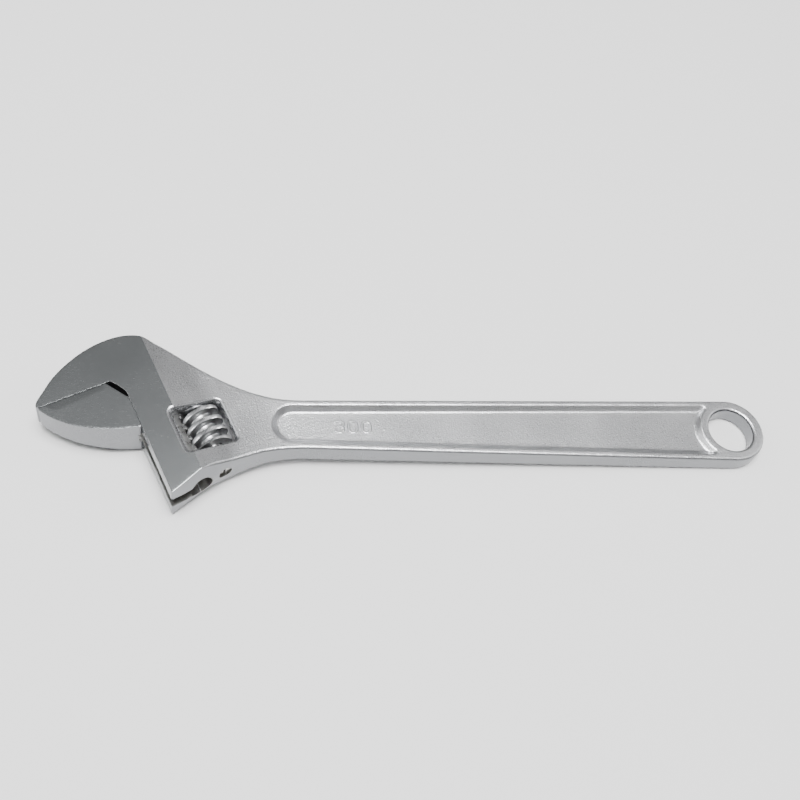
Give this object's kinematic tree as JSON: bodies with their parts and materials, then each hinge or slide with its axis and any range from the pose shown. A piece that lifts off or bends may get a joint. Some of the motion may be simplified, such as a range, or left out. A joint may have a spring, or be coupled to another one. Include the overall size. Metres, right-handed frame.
{
  "type": "adjustable wrench",
  "caption": "Adjustable wrench: forged handle with an angled fixed jaw, a sliding jaw driven by a worm on a screw pin, and a hanging hole at the handle's end.",
  "frame": {"origin": "centre of the hanging hole, on the wrench's mid-plane", "axes": "+Z along the hanging hole's axis, out of the marked face; X along the handle with the head towards -X; +Y towards the fixed jaw's back"},
  "size_m": [0.305, 0.0705, 0.0208],
  "materials": {
    "satin_chrome": "blasted satin chrome plate; flats of the head ground",
    "ground_chrome": "ground flats with satin edges",
    "worm_steel": "turned, knurled crests",
    "pin_steel": "turned",
    "spring_steel": "bright wire"
  },
  "bodies": {
    "wrench_body": {"body": "satin_chrome", "worm_pin": "pin_steel", "worm_spring": "spring_steel"},
    "jaw": {"movable_jaw": "ground_chrome"},
    "worm_screw": {"worm": "worm_steel"}
  },
  "joints": [
    {"name": "worm_spin", "type": "hinge", "parent": "wrench_body", "child": "worm_screw", "pos_m": [-0.22464, -0.00168, 0], "axis": [-0.3827, 0.9239, 0], "range_deg": [0, 2448]},
    {"name": "jaw_slide", "type": "slide", "parent": "wrench_body", "child": "jaw", "axis": [0.3827, -0.9239, 0], "range_m": [0, 0.034]}
  ],
  "couplings": [
    {"joint": "worm_spin", "follows": "jaw_slide", "rad_per_m": 1256.6}
  ]
}
